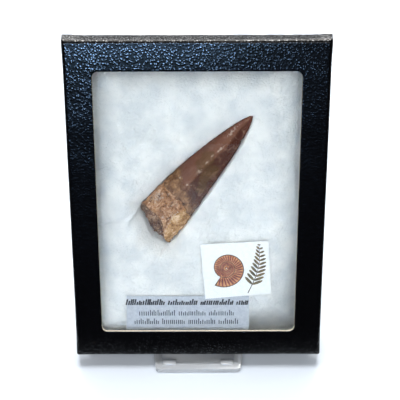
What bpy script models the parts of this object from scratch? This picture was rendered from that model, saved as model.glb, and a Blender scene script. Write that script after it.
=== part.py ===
"""A fossil tooth in a small glass-fronted card box, leaning back on a clear moulded easel.

Metres, +Z up, the window facing -Y. The origin is on the ground under the middle of the whole object.
The box is modelled upright, with its own origin at the bottom middle of its front plane and +Y going in
from the glass to the back, and then leans back on the empty named lean_back.
"""

import math

import bmesh
import bpy
from mathutils import Vector, noise

# Box: outer sizes of the lid, and the full depth from the lid's front plane to the tray's back
LEAN = math.radians(15)
BOX_W = 0.086
BOX_H = 0.112
BOX_D = 0.019
CLEAR = 0.0003

# Lid: covered card with a rounded fold round its front and walls that flare a little towards their rim
LID_DEPTH = 0.0070
LID_WALL = 0.0012
LID_FOLD = 0.0013
LID_FLARE = 0.0005
LID_CORNER = 0.0012
WINDOW_W = 0.0672
WINDOW_H = 0.0922
WINDOW_LOW = 0.00955
WINDOW_CORNER = 0.0020
ARC_STEPS = 4

# Glass pane behind the window
GLASS_W = 0.0830
GLASS_H = 0.1088
GLASS_T = 0.0013
GLASS_FRONT = LID_WALL + CLEAR
GLASS_BACK = GLASS_FRONT + GLASS_T

# Tray: open towards the glass, sitting a little to the right inside the lid
TRAY_W = 0.0822
TRAY_H = 0.1086
TRAY_SHIFT = 0.0004
TRAY_WALL = 0.0011
TRAY_FLOOR = 0.0010
TRAY_EDGE = 0.0006
TRAY_CORNER = 0.0010
TRAY_FRONT = GLASS_BACK + CLEAR

# Batting pad: a soft front face that dips round the tooth
PAD_COLUMNS = 30
PAD_ROWS = 40
PAD_FRONT = 0.0044
PAD_LUMP = 0.0004
PAD_LUMP_SIZE = 0.014
PAD_REACH = 0.0075
PAD_EDGE_SINK = 0.0022
PAD_EDGE_REACH = 0.0035
PAD_ROOT_DIP = 0.0036
PAD_ROOT_CLEAR = 0.0035

# Tooth: along its length from the root (0) to the tip (1), with a slight bend
TOOTH_L = 0.0508
TOOTH_HALF_W = 0.0081
TOOTH_FLATNESS = 0.70
TOOTH_BEND = 0.00085
TOOTH_TILT = math.radians(50.04)
TOOTH_ROOT_X = -0.01442
TOOTH_ROOT_Z = 0.04698
TOOTH_ROOT_DEPTH = 0.0091
TOOTH_TIP_DEPTH = 0.0060
TOOTH_SIDES = 36
TOOTH_RINGS = 34
ROOT_END = 0.34
ROOT_LUMP = 0.00045
ROOT_LUMP_SIZE = 0.0030
BREAK_START = 0.0
BREAK_SLOPE = 0.0042
BREAK_SIDE = math.radians(55)
BREAK_RIDGE = 0.0024
RIDGE_SIDE = math.radians(137)
RIDGE_SPREAD = math.radians(28)
BREAK_HOLLOW = 0.0018

# Papers under the glass: corners seen from the front, (X, Z), anticlockwise
CARD_CORNERS = ((0.00253, 0.02084), (0.02548, 0.02290), (0.02408, 0.04260), (0.00085, 0.04141))
CARD_FRONT = GLASS_BACK + 0.00033
CARD_T = 0.00025
LABEL_CORNERS = ((-0.02530, 0.00700), (0.01800, 0.00700), (0.01776, 0.02164), (-0.02487, 0.02175))
LABEL_FRONT = CARD_FRONT + CARD_T + CLEAR
LABEL_T = 0.00020

# Easel: a flat rim on the ground, a thin web under the box, two uprights and two braces
BASE_D = 0.0514
BASE_FRONT_W = 0.0297
BASE_SHOULDER_W = 0.0317
BASE_SHOULDER = 0.0066
BASE_BACK_W = 0.0340
BASE_CORNER = 0.0014
BAR = 0.0028
RIM_T = 0.0015
WEB_T = 0.0009
SLOT = 0.0009
TAB_W = 0.0041
TAB_D = 0.0024
TAB_T = 0.0020
HEEL_Y = -0.0043
UPRIGHT_H = 0.062
UPRIGHT_T = 0.0022
UPRIGHT_X = 0.0134
UPRIGHT_W = 0.0028
LEDGE_L = 0.0105
CROSS_BARS = ((0.0175, 0.0205), (0.0578, 0.0619))
BRACE_TOP = 0.046
BRACE_T = 0.0024


def clear_scene():
    for old in list(bpy.data.objects):
        bpy.data.objects.remove(old, do_unlink=True)


def material(name, colour, roughness, metallic=0.0, transmission=0.0):
    made = bpy.data.materials.new(name)
    made.use_nodes = True
    shader = made.node_tree.nodes["Principled BSDF"]
    shader.inputs["Base Color"].default_value = (*colour, 1.0)
    shader.inputs["Roughness"].default_value = roughness
    shader.inputs["Metallic"].default_value = metallic
    shader.inputs["Transmission Weight"].default_value = transmission
    made.diffuse_color = (*colour, 1.0)
    return made


def smooth(low, high, value):
    """0 below low, 1 above high, and an even ramp between them."""
    t = min(max((value - low) / (high - low), 0.0), 1.0)
    return t * t * (3 - 2 * t)


def add_object(name, bm, finish, smooth_angle=None):
    bmesh.ops.recalc_face_normals(bm, faces=bm.faces)
    mesh = bpy.data.meshes.new(name)
    bm.to_mesh(mesh)
    bm.free()
    mesh.materials.append(finish)
    if smooth_angle is not None:
        mesh.shade_smooth()
        mesh.set_sharp_from_angle(angle=math.radians(smooth_angle))
    made = bpy.data.objects.new(name, mesh)
    bpy.context.scene.collection.objects.link(made)
    return made


def rounded_outline(points, radius, steps=ARC_STEPS):
    """The outline's corners turned into arcs. radius is one number, or one for each corner."""
    radii = radius if hasattr(radius, "__len__") else [radius] * len(points)
    outline = []
    for i, corner in enumerate(points):
        here = Vector(corner)
        before = (Vector(points[i - 1]) - here).normalized()
        after = (Vector(points[(i + 1) % len(points)]) - here).normalized()
        half = before.angle(after) / 2
        reach = radii[i] / math.tan(half)
        centre = here + (before + after).normalized() * (radii[i] / math.sin(half))
        start = here + before * reach - centre
        end = here + after * reach - centre
        turn = start.angle(end)
        for k in range(steps + 1):
            t = k / steps
            share = (math.sin((1 - t) * turn), math.sin(t * turn))
            outline.append(centre + (start * share[0] + end * share[1]) / math.sin(turn))
    return outline


def loop_of(half_w, low, high, corner, depth, shift=0.0):
    """One ring of the box: a rounded rectangle in X and Z at a depth behind the front plane."""
    corners = ((shift - half_w, low), (shift + half_w, low), (shift + half_w, high), (shift - half_w, high))
    return [Vector((p.x, depth, p.y)) for p in rounded_outline(corners, corner)]


def skin_loops(bm, loops, closed):
    """Quads between one loop and the next, and from the last to the first where the section is closed."""
    rings = [[bm.verts.new(point) for point in loop] for loop in loops]
    pairs = list(zip(rings, rings[1:]))
    if closed:
        pairs.append((rings[-1], rings[0]))
    for a, b in pairs:
        for i in range(len(a)):
            j = (i + 1) % len(a)
            bm.faces.new((a[i], a[j], b[j], b[i]))
    return rings


def prism(name, outline, axis, low, high, finish):
    """The outline's two coordinates, in axis order, stretched from low to high along the given axis."""
    bm = bmesh.new()
    ends = []
    for level in (low, high):
        ring = []
        for u, v in outline:
            place = [u, v]
            place.insert(axis, level)
            ring.append(bm.verts.new(place))
        ends.append(ring)
    for i in range(len(outline)):
        j = (i + 1) % len(outline)
        bm.faces.new((ends[0][i], ends[0][j], ends[1][j], ends[1][i]))
    for ring in ends:
        bm.faces.new(ring)
    return add_object(name, bm, finish)


def combine(target, tool, operation):
    """A live Boolean with a hidden tool object."""
    cut = target.modifiers.new(tool.name, "BOOLEAN")
    cut.operation = operation
    cut.solver = "EXACT"
    cut.object = tool
    tool.hide_render = True
    tool.display_type = "WIRE"


def make_lid(finish):
    bm = bmesh.new()
    half_w = BOX_W / 2
    window_high = WINDOW_LOW + WINDOW_H
    loops = [loop_of(WINDOW_W / 2, WINDOW_LOW, window_high, WINDOW_CORNER, 0.0)]
    for step in range(ARC_STEPS + 1):
        angle = math.pi / 2 * step / ARC_STEPS
        inset = LID_FOLD * (1 - math.sin(angle))
        depth = LID_FOLD * (1 - math.cos(angle))
        loops.append(loop_of(half_w - inset, inset, BOX_H - inset, LID_CORNER, depth))
    rim_out = half_w + LID_FLARE
    loops.append(loop_of(rim_out, -LID_FLARE, BOX_H + LID_FLARE, LID_CORNER, LID_DEPTH))
    inner = LID_WALL - LID_FLARE
    loops.append(loop_of(half_w - inner, inner, BOX_H - inner, LID_CORNER / 2, LID_DEPTH))
    loops.append(loop_of(half_w - LID_WALL, LID_WALL, BOX_H - LID_WALL, LID_CORNER / 2, LID_WALL))
    loops.append(loop_of(WINDOW_W / 2, WINDOW_LOW, window_high, WINDOW_CORNER, LID_WALL))
    skin_loops(bm, loops, closed=True)
    return add_object("lid", bm, finish, smooth_angle=35)


def make_glass(finish):
    bm = bmesh.new()
    low = (BOX_H - GLASS_H) / 2
    loops = [loop_of(GLASS_W / 2, low, low + GLASS_H, 0.0004, y) for y in (GLASS_FRONT, GLASS_BACK)]
    for ring in skin_loops(bm, loops, closed=False):
        bm.faces.new(ring)
    return add_object("glass_pane", bm, finish)


def make_tray(finish):
    bm = bmesh.new()
    low = (BOX_H - TRAY_H) / 2
    high = low + TRAY_H
    half_w = TRAY_W / 2
    inner = half_w - TRAY_WALL
    floor_depth = BOX_D - TRAY_FLOOR
    loops = [
        loop_of(half_w - TRAY_EDGE, low + TRAY_EDGE, high - TRAY_EDGE, TRAY_CORNER, BOX_D, TRAY_SHIFT),
        loop_of(half_w, low, high, TRAY_CORNER, BOX_D - TRAY_EDGE, TRAY_SHIFT),
        loop_of(half_w, low, high, TRAY_CORNER, TRAY_FRONT, TRAY_SHIFT),
        loop_of(inner, low + TRAY_WALL, high - TRAY_WALL, TRAY_CORNER / 2, TRAY_FRONT, TRAY_SHIFT),
        loop_of(inner, low + TRAY_WALL, high - TRAY_WALL, TRAY_CORNER / 2, floor_depth, TRAY_SHIFT),
    ]
    rings = skin_loops(bm, loops, closed=False)
    bm.faces.new(rings[0])
    bm.faces.new(rings[-1])
    return add_object("tray", bm, finish, smooth_angle=40)


def tooth_section(along):
    """Half width, half thickness, sideways bend and depth of the tooth's axis, at 0 (root) to 1 (tip)."""
    s = min(max(along, 0.0), 1.0)
    half_w = TOOTH_HALF_W * (1 - s**1.55) ** 0.68
    bend = TOOTH_BEND * math.sin(math.pi * s) * (1 - s)
    depth = (TOOTH_TIP_DEPTH - TOOTH_ROOT_DEPTH) * s
    return half_w, half_w * TOOTH_FLATNESS, bend, depth


def root_break(angle):
    """Where the broken root end lies at each angle round the tooth: cut back in front, but for one ridge."""
    slope = BREAK_SLOPE * math.cos(angle - BREAK_SIDE)
    ridge = BREAK_RIDGE * math.exp(-(((angle - RIDGE_SIDE) / RIDGE_SPREAD) ** 2))
    return BREAK_START + slope - ridge + 0.0004 * math.sin(5 * angle + 0.8)


def tooth_point(along, angle, grow=0.0):
    """A point of the tooth's skin in its own axes: X to the tip, Z up across it and -Y to the front."""
    half_w, half_t, bend, depth = tooth_section(along)
    x = along * TOOTH_L + root_break(angle) * (1 - smooth(0.0, ROOT_END, along))
    base = Vector((x, depth - half_t * math.sin(angle), bend + half_w * math.cos(angle)))
    rough = 1 - smooth(0.6 * ROOT_END, ROOT_END, along)
    lump = noise.noise(base / ROOT_LUMP_SIZE) + 0.5 * noise.noise(base * 2.3 / ROOT_LUMP_SIZE)
    outward = Vector((0.0, -math.sin(angle), math.cos(angle)))
    base.x -= grow * (1 - 2 * along)
    return base + outward * ((lump - 0.2) * ROOT_LUMP * rough + grow)


def tooth_mesh(grow=0.0):
    bm = bmesh.new()
    angles = [2 * math.pi * k / TOOTH_SIDES for k in range(TOOTH_SIDES)]
    rings = []
    for i in range(TOOTH_RINGS):
        along = 1 - (1 - i / TOOTH_RINGS) ** 1.35
        rings.append([tooth_point(along, a, grow) for a in angles])
    end = [Vector(p) for p in rings[0]]
    centre = sum(end, Vector()) / len(end)
    caps = []
    hollow = BREAK_HOLLOW if grow == 0.0 else 0.0
    for share in (0.55, 0.15):
        caps.append([centre.lerp(p, share) + Vector((hollow * (1 - share**2), 0, 0)) for p in end])
    made = skin_loops(bm, caps[::-1] + rings, closed=False)
    tip_depth = tooth_section(1.0)[3]
    tip = bm.verts.new((TOOTH_L + grow, tip_depth, 0.0))
    floor = bm.verts.new(centre + Vector((hollow, 0, 0)))
    for i in range(TOOTH_SIDES):
        j = (i + 1) % TOOTH_SIDES
        bm.faces.new((made[-1][i], made[-1][j], tip))
        bm.faces.new((made[0][j], made[0][i], floor))
    return bm


def place_tooth(made):
    made.location = (TOOTH_ROOT_X, TOOTH_ROOT_DEPTH, TOOTH_ROOT_Z)
    made.rotation_euler = (0.0, -TOOTH_TILT, 0.0)


def pad_depth(x, z, low, high):
    """Depth of the batting's front face: sunk at the tray's walls, lumpy, and dipping in round the tooth."""
    dx = x - TOOTH_ROOT_X
    dz = z - TOOTH_ROOT_Z
    along = dx * math.cos(TOOTH_TILT) + dz * math.sin(TOOTH_TILT)
    across = dz * math.cos(TOOTH_TILT) - dx * math.sin(TOOTH_TILT)
    half_w, _, bend, depth = tooth_section(along / TOOTH_L)
    past_end = max(-PAD_ROOT_CLEAR - along, along - TOOTH_L, 0.0)
    gap = math.hypot(max(abs(across - bend) - half_w, 0.0), past_end)
    near = 1 - smooth(0.0, PAD_REACH, gap)
    edge = min(x - low.x, high.x - x, z - low.y, high.y - z)
    sink = PAD_EDGE_SINK * (1 - smooth(0.0, PAD_EDGE_REACH, edge))
    lump = PAD_LUMP * noise.noise(Vector((x, 0.0, z)) / PAD_LUMP_SIZE)
    front = PAD_FRONT + sink + lump
    dip = TOOTH_ROOT_DEPTH + depth + PAD_ROOT_DIP * (1 - smooth(0.0, ROOT_END, along / TOOTH_L))
    return front + (dip - PAD_FRONT) * near


def make_batting(finish, pocket_finish):
    room = TRAY_WALL + CLEAR
    bottom = (BOX_H - TRAY_H) / 2 + room
    half_w = TRAY_W / 2 - room
    low = Vector((TRAY_SHIFT - half_w, bottom))
    high = Vector((TRAY_SHIFT + half_w, BOX_H - bottom))
    back = BOX_D - TRAY_FLOOR - CLEAR
    bm = bmesh.new()
    grid = []
    for row in range(PAD_ROWS + 1):
        z = low.y + (high.y - low.y) * row / PAD_ROWS
        line = []
        for column in range(PAD_COLUMNS + 1):
            x = low.x + (high.x - low.x) * column / PAD_COLUMNS
            line.append(bm.verts.new((x, pad_depth(x, z, low, high), z)))
        grid.append(line)
    for row in range(PAD_ROWS):
        for column in range(PAD_COLUMNS):
            a, b = grid[row][column], grid[row][column + 1]
            c, d = grid[row + 1][column + 1], grid[row + 1][column]
            bm.faces.new((a, b, c, d))
    rim = grid[0] + [line[-1] for line in grid[1:]]
    rim += grid[-1][-2::-1] + [line[0] for line in grid[-2:0:-1]]
    under = [bm.verts.new((v.co.x, back, v.co.z)) for v in rim]
    for i in range(len(rim)):
        j = (i + 1) % len(rim)
        bm.faces.new((rim[i], rim[j], under[j], under[i]))
    bm.faces.new(under)
    made = add_object("batting", bm, finish, smooth_angle=60)
    pocket = add_object("tooth_pocket", tooth_mesh(grow=0.0005), pocket_finish)
    place_tooth(pocket)
    combine(made, pocket, "DIFFERENCE")
    return made, pocket


def make_paper(name, corners, front, thickness, finish):
    return prism(name, corners, 1, front, front + thickness, finish)


def along_lean(rise, forward):
    """World (Y, Z) of a point on the leaning box: rise up its back, forward from its back plane."""
    y = HEEL_Y + rise * math.sin(LEAN) - forward * math.cos(LEAN)
    return y, rise * math.cos(LEAN) + forward * math.sin(LEAN)


def mirrored(low, high):
    return ((low, high), (-high, -low))


def make_easel(finish):
    front = -BASE_D / 2
    back = BASE_D / 2
    shoulder = front + BASE_SHOULDER
    half = (BASE_FRONT_W / 2, BASE_SHOULDER_W / 2, BASE_BACK_W / 2)
    outside = [(-half[0], front), (half[0], front), (half[1], shoulder)]
    outside += [(half[2], back), (-half[2], back), (-half[1], shoulder)]
    corner = [BASE_CORNER, BASE_CORNER, BASE_CORNER * 3, BASE_CORNER, BASE_CORNER, BASE_CORNER * 3]
    base = prism("easel", rounded_outline(outside, corner), 2, 0.0, RIM_T, finish)

    inside_front = front + BAR + SLOT
    web_back = HEEL_Y + BAR
    recess = [(-half[0] + BAR, front + BAR), (half[0] - BAR, front + BAR)]
    recess += [(half[1] - BAR, shoulder), (half[1] - BAR, HEEL_Y), (BAR - half[1], HEEL_Y)]
    recess += [(BAR - half[1], shoulder)]
    slot_half = half[0] - BAR - TAB_W
    slot = [(-slot_half, front + BAR), (slot_half, front + BAR)]
    slot += [(slot_half, inside_front), (-slot_half, inside_front)]
    opening = [(BAR - half[1], web_back), (half[1] - BAR, web_back)]
    opening += [(half[2] - BAR, back - BAR), (BAR - half[2], back - BAR)]
    cutters = [
        prism("recess", recess, 2, WEB_T, RIM_T * 2, finish),
        prism("slot", slot, 2, -RIM_T, RIM_T * 2, finish),
        prism("opening", rounded_outline(opening, BASE_CORNER), 2, -RIM_T, RIM_T * 2, finish),
    ]
    for cutter in cutters:
        combine(base, cutter, "DIFFERENCE")

    solids = []
    tab_back = front + BAR + SLOT + 0.0006
    for low, high in mirrored(slot_half, slot_half + TAB_W + 0.0004):
        tab = [(low, tab_back - TAB_D), (high, tab_back - TAB_D), (high, tab_back), (low, tab_back)]
        solids.append(prism("tab", tab, 2, RIM_T / 3, TAB_T, finish))
    rest = -CLEAR
    rise = (BOX_H - TRAY_H) / 2 - CLEAR
    foot = WEB_T / 2
    slope = math.tan(LEAN)
    upright_top = [along_lean(UPRIGHT_H, rest - UPRIGHT_T), along_lean(UPRIGHT_H, rest)]
    upright = [(y - (z - foot) * slope, foot) for y, z in reversed(upright_top)] + upright_top
    ledge = [along_lean(rise, rest - 0.0004), along_lean(rise, LEDGE_L)]
    ledge += [(ledge[1][0], foot), (HEEL_Y + UPRIGHT_T, foot)]
    brace_top = along_lean(BRACE_TOP, rest - UPRIGHT_T / 2)
    brace_low = along_lean(BRACE_TOP - 2 * BRACE_T, rest - UPRIGHT_T / 2)
    heel = back - 0.0004
    brace = [(heel, foot), (heel, RIM_T), brace_top, brace_low, (heel - BRACE_T, foot)]
    for low, high in mirrored(UPRIGHT_X, UPRIGHT_X + UPRIGHT_W):
        solids.append(prism("upright", upright, 0, low, high, finish))
        solids.append(prism("ledge", ledge, 0, low + 0.0003, high - 0.0003, finish))
        solids.append(prism("brace", brace, 0, low + 0.0002, high - 0.0002, finish))
    for low, high in CROSS_BARS:
        bar = [along_lean(low, rest - 0.0002), along_lean(high, rest - 0.0002)]
        bar += [along_lean(high, 0.0002 - UPRIGHT_T - CLEAR), along_lean(low, 0.0002 - UPRIGHT_T - CLEAR)]
        reach = UPRIGHT_X + UPRIGHT_W - 0.0002
        solids.append(prism("cross_bar", bar, 0, -reach, reach, finish))
    for solid in solids:
        combine(base, solid, "UNION")
    return base


def build():
    clear_scene()
    leatherette = material("black_leatherette", (0.012, 0.012, 0.014), 0.38)
    tray_paper = material("black_tray_paper", (0.016, 0.015, 0.015), 0.55)
    glass = material("clear_glass", (0.98, 0.99, 0.99), 0.03, transmission=1.0)
    fibre = material("white_polyester_fibre", (0.86, 0.88, 0.91), 0.95)
    enamel = material("fossil_tooth", (0.16, 0.085, 0.045), 0.35)
    card = material("white_card", (0.93, 0.93, 0.92), 0.6)
    paper = material("pale_label_paper", (0.80, 0.80, 0.86), 0.7)
    clear_plastic = material("clear_polystyrene", (0.95, 0.97, 0.98), 0.06, transmission=1.0)

    lean_back = bpy.data.objects.new("lean_back", None)
    bpy.context.scene.collection.objects.link(lean_back)
    lean_back.location = (0.0, HEEL_Y - BOX_D * math.cos(LEAN), BOX_D * math.sin(LEAN))
    lean_back.rotation_euler = (-LEAN, 0.0, 0.0)

    tooth = add_object("tooth", tooth_mesh(), enamel, smooth_angle=50)
    place_tooth(tooth)
    batting, pocket = make_batting(fibre, enamel)
    boxed = [
        make_lid(leatherette),
        make_glass(glass),
        make_tray(tray_paper),
        batting,
        pocket,
        tooth,
        make_paper("picture_card", CARD_CORNERS, CARD_FRONT, CARD_T, card),
        make_paper("name_label", LABEL_CORNERS, LABEL_FRONT, LABEL_T, paper),
    ]
    for piece in boxed:
        piece.parent = lean_back
    make_easel(clear_plastic)


build()
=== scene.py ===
# %% [markdown]
# # A fossil tooth in a small glass-fronted box
#
# The object is a shallow card box covered in black leatherette, with a glass pane behind the window of its
# lid. It leans back on a clear moulded easel. Inside, a fossil tooth lies in white polyester batting, with a
# small printed card and a paper label under the glass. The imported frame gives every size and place. This
# lesson dresses it for the eye, one material and one piece at a time.

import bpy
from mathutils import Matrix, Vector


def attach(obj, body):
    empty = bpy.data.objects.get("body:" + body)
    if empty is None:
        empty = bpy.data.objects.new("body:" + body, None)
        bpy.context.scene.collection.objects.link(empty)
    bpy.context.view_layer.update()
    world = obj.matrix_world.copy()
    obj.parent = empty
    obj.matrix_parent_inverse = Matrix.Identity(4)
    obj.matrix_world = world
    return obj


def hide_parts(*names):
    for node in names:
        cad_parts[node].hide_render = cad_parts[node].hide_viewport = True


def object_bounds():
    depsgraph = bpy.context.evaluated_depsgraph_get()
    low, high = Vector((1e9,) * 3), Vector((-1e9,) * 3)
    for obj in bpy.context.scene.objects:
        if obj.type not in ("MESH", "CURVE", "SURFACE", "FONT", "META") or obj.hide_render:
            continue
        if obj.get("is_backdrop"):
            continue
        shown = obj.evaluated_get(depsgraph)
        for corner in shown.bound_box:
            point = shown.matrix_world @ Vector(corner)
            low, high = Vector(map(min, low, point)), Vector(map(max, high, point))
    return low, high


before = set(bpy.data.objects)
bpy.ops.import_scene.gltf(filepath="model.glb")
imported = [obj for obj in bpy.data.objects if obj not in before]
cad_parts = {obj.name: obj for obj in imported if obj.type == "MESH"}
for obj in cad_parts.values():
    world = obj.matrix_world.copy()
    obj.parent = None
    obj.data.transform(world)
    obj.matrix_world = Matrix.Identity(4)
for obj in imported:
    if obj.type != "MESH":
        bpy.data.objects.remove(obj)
cad_low, cad_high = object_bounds()
print("frame nodes:", sorted(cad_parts))

# %% [markdown]
# ## The sizes that the pieces share
#
# The lid, tray, pad and tooth are modelled in the box's own axes: X across, Y going in from the front plane
# and Z up the face. One matrix then leans them back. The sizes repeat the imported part's, in metres, so that a
# finer piece fits exactly where its plain solid was.

# %% Box axes and the tooth's axes
import math
import random

import bmesh
import bpy
import numpy as np
from mathutils import Matrix, Vector, noise

# Blender's vector noise takes its offsets from the clock unless its generator is seeded
noise.seed_set(7)

LEAN = math.radians(15)
HEEL_Y = -0.0043
BOX_W, BOX_H, BOX_D = 0.086, 0.112, 0.019
CLEAR = 0.0003
BOX_PLACE = Matrix.Translation((0.0, HEEL_Y - BOX_D * math.cos(LEAN), BOX_D * math.sin(LEAN)))
BOX_PLACE = BOX_PLACE @ Matrix.Rotation(-LEAN, 4, "X")

TOOTH_L = 0.0508
TOOTH_TILT = math.radians(50.04)
TOOTH_ROOT = Vector((-0.01442, 0.0091, 0.04698))
TOOTH_PLACE = BOX_PLACE @ Matrix.Translation(TOOTH_ROOT) @ Matrix.Rotation(-TOOTH_TILT, 4, "Y")
print("box leans", round(math.degrees(LEAN)), "degrees; tooth is", TOOTH_L * 1000, "mm long")

# %% [markdown]
# ## Helpers for meshes
#
# Most pieces here are skins over a grid of points, such as rings round the box or rings along the tooth. The
# grid is built with NumPy, its quads are numbered once, and the piece's place goes into its points, so that
# the finished object sits unturned at the origin. bmesh then turns every face outwards.


# %% Grid skins and finished pieces
def smooth(low, high, value):
    """0 below low, 1 above high, and an even ramp between them."""
    t = np.clip((value - low) / (high - low), 0.0, 1.0)
    return t * t * (3 - 2 * t)


def quads(rows, columns, closed_rows=False):
    """Vertex numbers of the quads of a grid whose rows are closed loops of points."""
    i = np.arange(rows if closed_rows else rows - 1)[:, None]
    j = np.arange(columns)[None, :]
    below, above, beside = i * columns, (i + 1) % rows * columns, (j + 1) % columns
    return np.stack((below + j, below + beside, above + beside, above + j), axis=-1).reshape(-1, 4)


def add_piece(name, points, faces, place, finishes, face_finish=None, marks=None):
    """A smooth-shaded mesh object with its place in its points, outward faces and named point values."""
    mesh = bpy.data.meshes.new(name)
    turned = np.asarray(points) @ np.array(place.to_3x3()).T + np.array(place.translation)
    mesh.from_pydata(turned.tolist(), [], [tuple(int(v) for v in face) for face in faces])
    for finish in finishes:
        mesh.materials.append(finish)
    if face_finish is not None:
        mesh.polygons.foreach_set("material_index", np.asarray(face_finish, np.int32))
    for mark, values in (marks or {}).items():
        mesh.attributes.new(mark, "FLOAT", "POINT").data.foreach_set("value", np.asarray(values, np.float32))
    skin = bmesh.new()
    skin.from_mesh(mesh)
    bmesh.ops.recalc_face_normals(skin, faces=skin.faces)
    skin.to_mesh(mesh)
    skin.free()
    mesh.shade_smooth()
    made = bpy.data.objects.new(name, mesh)
    bpy.context.scene.collection.objects.link(made)
    print(name, "has", len(mesh.polygons), "faces")
    return made


def lumps(points, size, shift=0.0):
    """Smooth noise from about -1 to 1 at each point, for lumps of the given size in metres."""
    away = Vector((shift, shift, shift))
    return np.array([noise.noise(Vector(p) / size + away) for p in points])


# %% [markdown]
# ## Helpers for materials
#
# Colours are written as the sRGB hex values that a screen shows, and one function turns them to the linear
# values that the renderer counts with. One small function adds a node, with its settings, its socket values
# and its links. Pattern scales are written as one over a real size in metres.


# %% Colours, nodes and blank finishes
def paint(hex_colour):
    """Linear RGBA from an sRGB hex colour."""
    parts = [int(hex_colour[i : i + 2], 16) / 255 for i in (0, 2, 4)]
    linear = [c / 12.92 if c <= 0.04045 else ((c + 0.055) / 1.055) ** 2.4 for c in parts]
    return (*linear, 1.0)


def put(tree, kind, inputs=None, stops=None, **settings):
    """Adds one node. inputs gives each socket, by name or number, a value or another node's output."""
    made = tree.nodes.new(kind)
    for name, value in settings.items():
        setattr(made, name, value)
    for socket, value in (inputs or {}).items():
        if isinstance(value, bpy.types.NodeSocket):
            tree.links.new(value, made.inputs[socket])
        else:
            made.inputs[socket].default_value = value
    if stops:
        band = made.color_ramp.elements
        band.remove(band[-1])
        band[0].position, band[0].color = stops[0][0], paint(stops[0][1])
        for position, colour in stops[1:]:
            band.new(position).color = paint(colour)
    return made


def new_finish(name, **shader_inputs):
    """A material with one Principled shader, and the places where its patterns link."""
    made = bpy.data.materials.new(name)
    made.use_nodes = True
    tree = made.node_tree
    tree.nodes.clear()
    inputs = {key.replace("_", " "): value for key, value in shader_inputs.items()}
    shader = put(tree, "ShaderNodeBsdfPrincipled", inputs)
    put(tree, "ShaderNodeOutputMaterial", {"Surface": shader.outputs[0]})
    made.diffuse_color = shader.inputs["Base Color"].default_value
    return made, tree, shader


def link(tree, output, shader, socket):
    tree.links.new(output, shader.inputs[socket])


# %% [markdown]
# ## Black leatherette paper
#
# The box is covered in paper that was coated in black plastic and pressed between rollers to look like
# grained leather. Low pebbles meet in fine creases. The creases could be carved into the mesh, but at this
# size a bump pattern gives them more crisply, while the lid's mesh carries the larger dents. Handling polishes
# the crowns of the pebbles and leaves the creases matt, so the shine follows the pattern too, and a window's
# reflection breaks up into small specks. The distance to the middle of each Voronoi cell gives the round
# crowns.

# %% Leatherette finish
# Real pebbles are about 0.5 mm apart. These are as coarse as they need to be to show in the picture.
GRAIN_PITCH = 0.00076
GRAIN_LEAN = math.radians(-18)
GRAIN_STRETCH = (0.85, 1.0, 1.05)
GRAIN_SWAY = 0.6
PRESSED_DEPTH = 0.00003


def grained_paper(name, base, shine, crease_shine):
    """Pebbled paper. shine is the specular level on the crowns and crease_shine the one between them."""
    made, tree, shader = new_finish(name, Base_Color=paint(base), IOR=1.5)
    flat = put(tree, "ShaderNodeTexCoord").outputs["Object"]
    leaning = {0: flat, 2: (0.0, GRAIN_LEAN, 0.0), 3: GRAIN_STRETCH}
    where = put(tree, "ShaderNodeMapping", leaning, vector_type="TEXTURE").outputs[0]
    sway = put(tree, "ShaderNodeTexNoise", {"Vector": where, "Scale": GRAIN_SWAY / GRAIN_PITCH, "Detail": 2.0})
    bending = {0: sway.outputs["Color"], 1: (GRAIN_SWAY * GRAIN_PITCH,) * 3, 2: where}
    bent = put(tree, "ShaderNodeVectorMath", bending, operation="MULTIPLY_ADD")
    pebbles = put(tree, "ShaderNodeTexVoronoi", {"Vector": bent.outputs[0], "Scale": 1 / GRAIN_PITCH})
    shape = {"interpolation_type": "SMOOTHSTEP"}
    distance = pebbles.outputs["Distance"]
    domes = put(tree, "ShaderNodeMapRange", {"Value": distance, "From Min": 0.75, "From Max": 0.0}, **shape)
    crowns = put(tree, "ShaderNodeMapRange", {"Value": distance, "From Min": 0.44, "From Max": 0.12}, **shape)
    fine = put(tree, "ShaderNodeTexNoise", {"Vector": where, "Scale": 1 / 0.0003, "Detail": 2.0})
    both = {0: fine.outputs["Fac"], 1: 0.15, 2: domes.outputs[0]}
    height = put(tree, "ShaderNodeMath", both, operation="MULTIPLY_ADD").outputs[0]
    relief = put(tree, "ShaderNodeBump", {"Strength": 1.0, "Distance": PRESSED_DEPTH, "Height": height})
    link(tree, relief.outputs[0], shader, "Normal")
    dullness = put(tree, "ShaderNodeMapRange", {"Value": crowns.outputs[0], "To Min": 0.2, "To Max": 0.13})
    link(tree, dullness.outputs[0], shader, "Roughness")
    glint = {"Value": crowns.outputs[0], "To Min": crease_shine, "To Max": shine}
    link(tree, put(tree, "ShaderNodeMapRange", glint).outputs[0], shader, "Specular IOR Level")
    return made


leatherette = grained_paper("embossed_leatherette_paper", "030304", 1.2, 0.12)
tray_cover = grained_paper("embossed_tray_paper", "0D0B0B", 1.5, 0.6)
print("grain pitch", GRAIN_PITCH * 1000, "mm")

# %% [markdown]
# ## Cream board at the cut edge
#
# The window was die-cut through the lid's card, so a thin cream line of bare greyboard shows all round it. A
# second material on the faces of the cut is enough. Board, paper, printed ink and fibre are all uneven in the
# same soft way, so one function makes them: noise of a real size picks a tone between two colours, and the
# same noise can raise the surface a little.


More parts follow.
